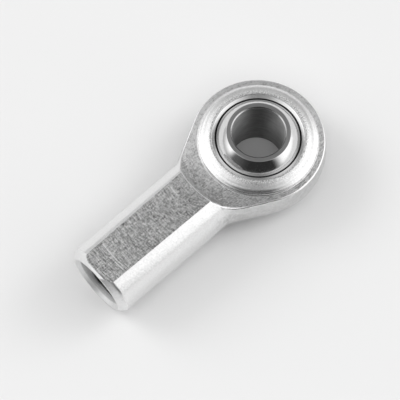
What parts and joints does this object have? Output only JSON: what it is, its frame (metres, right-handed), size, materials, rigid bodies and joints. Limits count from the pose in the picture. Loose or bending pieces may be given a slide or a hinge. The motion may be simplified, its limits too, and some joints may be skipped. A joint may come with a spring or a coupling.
{
  "type": "rod end bearing",
  "caption": "Spherical rod end bearing with a bored ball that swivels and tilts in a round head, and an internally threaded shank with milled wrench flats.",
  "frame": {"origin": "centre of the ball, halfway along the bore's axis", "axes": "+Z along the ball's bore, normal to the head's flats and the wrench flats; the shank runs along -X"},
  "size_m": [0.0753, 0.0366, 0.019],
  "materials": {
    "plated_steel": "bright zinc plated, turned faces glossy, milled flats matte with fine arc-shaped tool marks",
    "race_steel": "turned steel, satin",
    "liner_fabric": "dark self-lubricating woven liner, matte",
    "polished_steel": "ground and polished hardened steel"
  },
  "bodies": {
    "housing": {"housing": "plated_steel", "race": "race_steel"},
    "liner": {"liner": "liner_fabric"},
    "ball": {"ball": "polished_steel"}
  },
  "joints": [
    {"name": "ball_swivel", "type": "hinge", "parent": "housing", "child": "liner", "pos_m": [0, 0, 0], "axis": [0, 0, 1], "continuous": true},
    {"name": "ball_tilt", "type": "hinge", "parent": "liner", "child": "ball", "pos_m": [0, 0, 0], "axis": [0, 1, 0], "range_deg": [-16, 16]}
  ]
}
